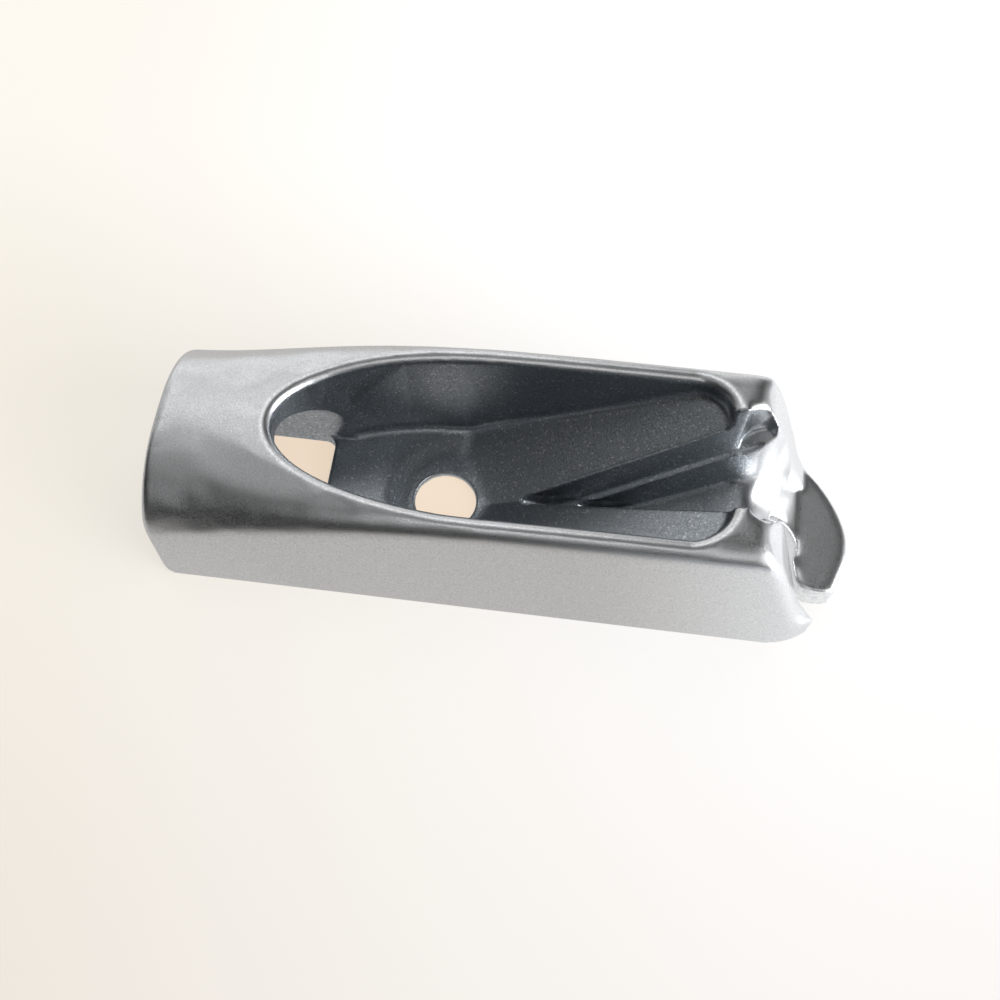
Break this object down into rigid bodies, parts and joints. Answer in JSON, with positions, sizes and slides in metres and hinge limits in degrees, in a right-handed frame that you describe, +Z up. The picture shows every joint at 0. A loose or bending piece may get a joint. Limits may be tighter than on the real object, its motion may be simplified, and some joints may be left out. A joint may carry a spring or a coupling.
{
  "type": "jam cleat",
  "caption": "Cast rope jam cleat: a rope tunnel leads into an open trough with a ribbed V channel, and the channel ends at a flat open hook.",
  "frame": {"origin": "centre of the floor hole, on the flat base", "axes": "+X along the cleat from the tunnel to the hook, +Z up away from the base, +Y to the side opposite the hook's free tip"},
  "size_m": [0.065, 0.0214, 0.0151],
  "materials": {
    "cast_aluminium": "satin"
  },
  "bodies": {
    "root": {"cleat_body": "cast_aluminium"}
  },
  "joints": []
}
